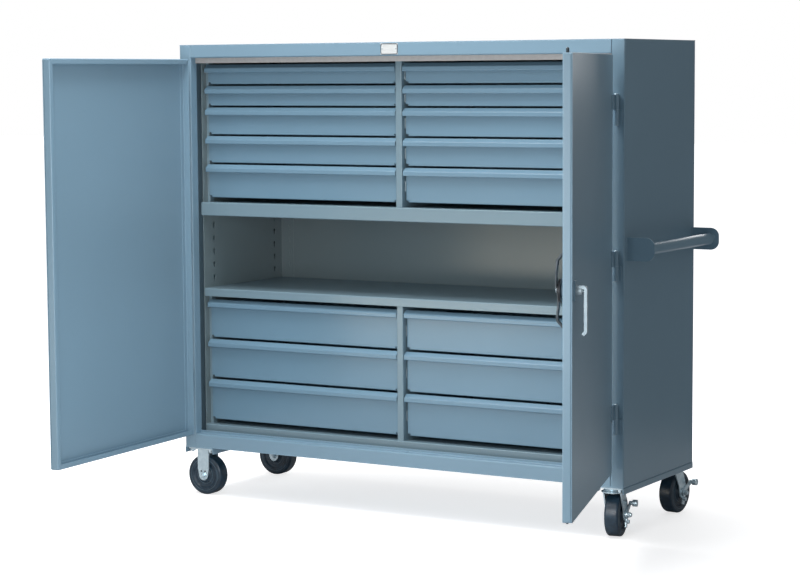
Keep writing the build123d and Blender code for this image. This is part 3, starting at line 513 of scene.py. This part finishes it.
BRACKET_THICKNESS = 6.0
TUBE_DIAMETER = 40.0
BEAD_STEPS = 70
handle_low, handle_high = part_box("push_handle")
side_x = handle_low.x
bracket_faces = (handle_low.y, handle_low.y + BRACKET_THICKNESS * MM,
                 handle_high.y - BRACKET_THICKNESS * MM, handle_high.y)
for i, y in enumerate(bracket_faces, 1):
    heights = [handle_low.z + (handle_high.z - handle_low.z) * k / BEAD_STEPS
               for k in range(1, BEAD_STEPS)]
    line = [Vector((side_x, y, z)) for z in heights]
    mesh_piece("bracket_weld_%d" % i, swept(line, bead_radii(line), False), True,
               body_paint, "cabinet")
TUBE_INSET = 36.0
LOOP_POINTS = 100
tube_x = handle_high.x - TUBE_INSET * MM
tube_z = (handle_low.z + handle_high.z) / 2
for i, y in enumerate(bracket_faces[1:3], 1):
    tube_middle = Vector((tube_x, y, tube_z))
    loop = circle_points(tube_middle, Vector((0, 1, 0)), TUBE_DIAMETER / 2 * MM, LOOP_POINTS)
    mesh_piece("tube_weld_%d" % i, swept(loop, bead_radii(loop), True), True,
               body_paint, "cabinet")
print("push handle welds: 4 along the brackets, 2 round the tube")

# %% [markdown]
# ## The bare name plate
#
# The header carries a small satin plate with a dark rim and a rivet at each end. It is left bare.

# %% Rim and rivets of the name plate
plate_low, plate_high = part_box("name_plate")
rim_paint = plated_steel("rim_grey", (0.050, 0.062, 0.070), (0.070, 0.085, 0.095), 0.45, 0.55, 0.0)
RIM = 1.8 * MM
RIM_CORNER = 6.0 * MM
CORNER_STEPS = 8
RIVET_INSET = 7 * MM
rim_points = []
left, right = plate_low.x + RIM, plate_high.x - RIM
bottom, top = plate_low.z + RIM, plate_high.z - RIM
corners = (
    (right - RIM_CORNER, top - RIM_CORNER),
    (left + RIM_CORNER, top - RIM_CORNER),
    (left + RIM_CORNER, bottom + RIM_CORNER),
    (right - RIM_CORNER, bottom + RIM_CORNER),
)
for quarter, (cx, cz) in enumerate(corners):
    for k in range(CORNER_STEPS + 1):
        turn = math.radians(90 * quarter + 90 * k / CORNER_STEPS)
        rim_points.append(Vector((cx + RIM_CORNER * math.cos(turn), plate_low.y,
                                  cz + RIM_CORNER * math.sin(turn))))
mesh_piece("name_plate_rim", swept(rim_points, [RIM * 0.8] * len(rim_points), True), True,
           rim_paint, "cabinet")
for i, x in enumerate((plate_low.x + RIVET_INSET, plate_high.x - RIVET_INSET), 1):
    head = turned([(0, 0), (2.4, 0), (2.2, 0.7), (1.4, 1.3), (0, 1.5)],
                  Vector((x, plate_low.y, (bottom + top) / 2)), Vector((0, -1, 0)))
    mesh_piece("name_plate_rivet_%d" % i, head, True, plated, "cabinet")
print("name plate", [round(v / MM, 1) for v in plate_high - plate_low], "mm")

# %% [markdown]
# ## Hinge caps
#
# Each hinge barrel is closed by a low cap: the upper one turns with the door, the lower one stays.

# %% Hinge caps
HINGE_X = 888.0
HINGE_Y = -9.0
HINGE_HEIGHTS = (236.0, 758.0, 1284.0)
HALF_BARREL = 51.0
cap_profile = [(0, 0), (7.6, 0), (7.4, 0.8), (6.0, 2.0), (3.0, 2.6), (0, 2.8)]
for side_name, x in (("left", -HINGE_X), ("right", HINGE_X)):
    for i, height in enumerate(HINGE_HEIGHTS, 1):
        upper = turned(cap_profile, place(x, HINGE_Y, height + HALF_BARREL), Vector((0, 0, 1)))
        lower = turned(cap_profile, place(x, HINGE_Y, height - HALF_BARREL), Vector((0, 0, -1)))
        mesh_piece("%s_hinge_cap_%d" % (side_name, i), upper, True, plated, side_name + "_door")
        mesh_piece("%s_hinge_foot_%d" % (side_name, i), lower, True, plated, "cabinet")
print("hinge caps:", 4 * len(HINGE_HEIGHTS))

# %% [markdown]
# ## Moulded rings of the wheels
#
# A moulded wheel has a raised ring on each side where the mould parts meet, and another round its
# hub. They catch the light and tell the eye that the wheel is round and dished; their rubber is a
# paler copy of the wheel's, a painted highlight along each ring. The right wheels stand roughly a
# right angle round from the left ones, as their swivels were left in the photograph. The rings
# follow each wheel's own axis.

# %% Wheel rings
WHEEL_HEADINGS = {
    "left_front_wheel": 0.0,
    "left_rear_wheel": 0.0,
    "right_front_wheel": 100.3,
    "right_rear_wheel": 85.0,
}
HALF_WHEEL = 25.0
RECESS = 5.0
OUTER_RING = (60.0, HALF_WHEEL, 1.1)
HUB_RING = (34.0, HALF_WHEEL - RECESS, 1.3)
RING_POINTS = 72
# The rings' paler rubber is a painted highlight.
ring_highlight_rubber = hard_rubber("ring_highlight_rubber", (0.050, 0.090, 0.125), (0.085, 0.135, 0.175))
for name, heading in WHEEL_HEADINGS.items():
    low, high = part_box(name)
    centre = (low + high) / 2
    turn = math.radians(heading)
    axis = Vector((-math.sin(turn), math.cos(turn), 0))
    for i, (radius, offset, thickness) in enumerate((OUTER_RING, HUB_RING), 1):
        for j, way in enumerate((-1, 1), 1):
            loop = circle_points(centre + way * offset * MM * axis, axis, radius * MM, RING_POINTS)
            ring = swept(loop, [thickness * MM] * RING_POINTS, True)
            mesh_piece("%s_ring_%d_%d" % (name, i, j), ring, True,
                       ring_highlight_rubber, name + "_body")
print("wheel rings:", 4 * len(WHEEL_HEADINGS))

# %% [markdown]
# ## Rivets of the fixed forks, and the lock's nut and cap
#
# The fixed forks are riveted just above the axle. A small plated nut holds the lock's handle on
# its spindle, and a plated cap closes the spindle behind the cam. Both sit on the right door, so
# their places are worked out on the closed door and turned about the hinge to where it stands.

# %% Fork rivets, handle nut and cam cap
LEG_SIDE = 33.0
RIVET_RISE = 15.0
RIVET_SIDE = 8.5
for name in ("left_front_wheel", "left_rear_wheel"):
    low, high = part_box(name)
    centre = (low + high) / 2
    for j, way in enumerate((-1, 1), 1):
        for k, x in enumerate((-RIVET_SIDE, RIVET_SIDE), 1):
            spot = centre + Vector((x * MM, way * LEG_SIDE * MM, RIVET_RISE * MM))
            head = turned([(0, -0.5), (3.4, -0.5), (3.1, 1.2), (1.9, 2.1), (0, 2.4)],
                          spot, Vector((0, way, 0)))
            mesh_piece("%s_rivet_%d_%d" % (name.replace("wheel", "fork"), j, k), head, True,
                       black_steel, "cabinet")

RIGHT_DOOR_ANGLE = math.radians(107.0)
LOCK_X = 51.5
LOCK_HEIGHT = 755.0
HUB_FRONT = 22.05
CAM_NUT_BACK = 55.0


def on_right_door(x, y, z):
    """A point of the closed right door, where the open door carries it."""
    out, across = y - HINGE_Y, x - HINGE_X
    return place(HINGE_X + across * math.cos(RIGHT_DOOR_ANGLE) - out * math.sin(RIGHT_DOOR_ANGLE),
                 HINGE_Y + across * math.sin(RIGHT_DOOR_ANGLE) + out * math.cos(RIGHT_DOOR_ANGLE), z)


nut_seat = on_right_door(LOCK_X, -HUB_FRONT, LOCK_HEIGHT)
nut_axis = on_right_door(LOCK_X, -HUB_FRONT - 1, LOCK_HEIGHT) - nut_seat
nut = turned([(0, 0), (5.8, 0), (5.8, 3.6), (5.0, 4.4), (2.6, 4.4), (2.6, 6.0), (0, 6.2)],
             nut_seat, nut_axis, 6)
mesh_piece("handle_nut", nut, False, plated, "latch")
cap_seat = on_right_door(LOCK_X, CAM_NUT_BACK, LOCK_HEIGHT)
cap_axis = on_right_door(LOCK_X, CAM_NUT_BACK + 1, LOCK_HEIGHT) - cap_seat
cap = turned([(0, 0), (8.2, 0), (8.2, 1.0), (6.6, 2.0), (4.0, 2.0), (3.6, 3.4), (0, 3.8)],
             cap_seat, cap_axis)
mesh_piece("cam_cap", cap, True, plated, "latch")
print("fork rivets, handle nut and cam cap placed")

# %% [markdown]
# ## Studio floor and backdrop
#
# The photograph is a studio shot on a white sweep, with a soft shadow under the cabinet. The floor
# adds some white of its own to what the camera sees, more of it far from the cabinet, so it stays
# white without extra light on the paint and still keeps the shadow. The backdrop is plain white
# to the camera and a calmer grey to mirrors, so the gloss doesn't wash the colour out.

# %% Floor and backdrop


def ray_levels(tree, seen, mirrored, plain):
    """One level for what the camera sees, one for mirror rays, one for light on matt surfaces."""
    path = tree.nodes.new("ShaderNodeLightPath")
    mirror = spread(tree, path.outputs["Is Glossy Ray"], plain, mirrored, 0.0, 1.0)
    choose = tree.nodes.new("ShaderNodeMix")
    tree.links.new(path.outputs["Is Camera Ray"], choose.inputs["Factor"])
    tree.links.new(mirror, choose.inputs["A"])
    choose.inputs["B"].default_value = seen
    return choose.outputs["Result"]


def studio_floor(size):
    """A wide white sheet under the casters."""
    mesh = bpy.data.meshes.new("studio_floor")
    half = size / 2
    corners = [(-half, -half, 0), (half, -half, 0), (half, half, 0), (-half, half, 0)]
    mesh.from_pydata(corners, [], [(0, 1, 2, 3)])
    floor = bpy.data.objects.new("studio_floor", mesh)
    bpy.context.scene.collection.objects.link(floor)
    material = bpy.data.materials.new("studio_white")
    material.use_nodes = True
    tree = material.node_tree
    tree.nodes.clear()
    matt = add_node(tree, "ShaderNodeBsdfDiffuse", Color=(0.66, 0.66, 0.67, 1))
    glow = add_node(tree, "ShaderNodeEmission", Color=(1, 1, 1, 1))
    where = tree.nodes.new("ShaderNodeTexCoord")
    from_cabinet = tree.nodes.new("ShaderNodeVectorMath")
    from_cabinet.operation = "LENGTH"
    tree.links.new(where.outputs["Object"], from_cabinet.inputs[0])
    outwards = spread(tree, from_cabinet.outputs["Value"], 0.62, 1.0, 0.6, 2.1)
    level = tree.nodes.new("ShaderNodeMath")
    level.operation = "MULTIPLY"
    tree.links.new(outwards, level.inputs[0])
    tree.links.new(ray_levels(tree, 1.0, 0.0, 0.0), level.inputs[1])
    tree.links.new(level.outputs["Value"], glow.inputs["Strength"])
    both = tree.nodes.new("ShaderNodeAddShader")
    output = tree.nodes.new("ShaderNodeOutputMaterial")
    tree.links.new(matt.outputs["BSDF"], both.inputs[0])
    tree.links.new(glow.outputs["Emission"], both.inputs[1])
    tree.links.new(both.outputs["Shader"], output.inputs["Surface"])
    mesh.materials.append(material)
    return floor


FLOOR_SIZE = 80
floor = studio_floor(FLOOR_SIZE)

world = bpy.data.worlds.new("white_studio")
world.use_nodes = True
bpy.context.scene.world = world
background = world.node_tree.nodes["Background"]
background.inputs["Color"].default_value = (1, 1, 1, 1)
world.node_tree.links.new(ray_levels(world.node_tree, 1.0, 0.58, 0.34), background.inputs["Strength"])
bpy.context.scene.view_settings.view_transform = "Standard"
print("floor and backdrop ready")

# %% [markdown]
# ## Lamps
#
# Large soft boxes give the broad, soft light of a studio. One in front and above lights the
# face, one from the right fills the inside of the open left door, a long one overhead lights the
# shelves and the upper edges, and one behind keeps the back from going murky when the cabinet is
# seen from there.

# %% Lamps


def soft_box(name, where, target, width, height, watts):
    """A rectangular soft light, turned to face a target."""
    data = bpy.data.lights.new(name, "AREA")
    data.shape = "RECTANGLE"
    data.size = width
    data.size_y = height
    data.energy = watts
    lamp = bpy.data.objects.new(name, data)
    lamp.location = where
    lamp.rotation_euler = (target - where).to_track_quat("-Z", "Y").to_euler()
    bpy.context.scene.collection.objects.link(lamp)
    return lamp


soft_box("key_soft_box", place(-300, -2500, 3300), place(-200, 0, 900), 2.0, 1.2, 14)
soft_box("door_fill", place(860, -2500, 900), place(-930, -450, 650), 0.9, 1.2, 34)
soft_box("top_strip", place(-700, -450, 3500), place(0, 250, 1300), 3.0, 1.2, 135)
soft_box("back_fill", place(-600, 4300, 2100), place(0, 600, 700), 2.6, 1.6, 38)

# %% [markdown]
# ## Cards that only mirror rays see
#
# Gloss paint shows what stands round it, and in a studio that is shaped with dark and bright cards.
# Two cards do it here. Only mirror rays see them, so they cast no light or shadow on anything.
# The dark one stands to the right, where the cabinet's side reflects it. The small warm one, low
# at the front, gives the bay's back wall a little of the beige sheen that it has in the
# photograph. It is kept weak, so that it does not burn out the paint seen from other sides.

# %% Cards that only mirror rays see


def studio_card(name, where, facing, width, height, colour, strength):
    """A card out of the picture that shows only as a reflection in the paint."""
    mesh = bpy.data.meshes.new(name)
    w, h = width / 2, height / 2
    mesh.from_pydata([(-w, -h, 0), (w, -h, 0), (w, h, 0), (-w, h, 0)], [], [(0, 1, 2, 3)])
    card = bpy.data.objects.new(name, mesh)
    card.location = where
    card.rotation_euler = (facing - where).to_track_quat("Z", "Y").to_euler()
    material, tree, shader = new_material(name)
    shader.inputs["Base Color"].default_value = (0, 0, 0, 1)
    shader.inputs["Emission Color"].default_value = (*colour, 1)
    shader.inputs["Emission Strength"].default_value = strength
    mesh.materials.append(material)
    bpy.context.scene.collection.objects.link(card)
    card.visible_camera = False
    card.visible_diffuse = False
    card.visible_shadow = False
    card.visible_transmission = False
    return card


cards = [
    studio_card("dark_card", place(2150, 1480, 800), place(900, -650, 800), 2.9, 2.2, (0.9, 1.0, 1.1), 0.03),
    studio_card("warm_card", place(-1550, -3320, 245), place(400, 0, 700), 1.3, 0.40, (1.0, 0.93, 0.78), 7.0),
]
print("cards:", [card.name for card in cards])
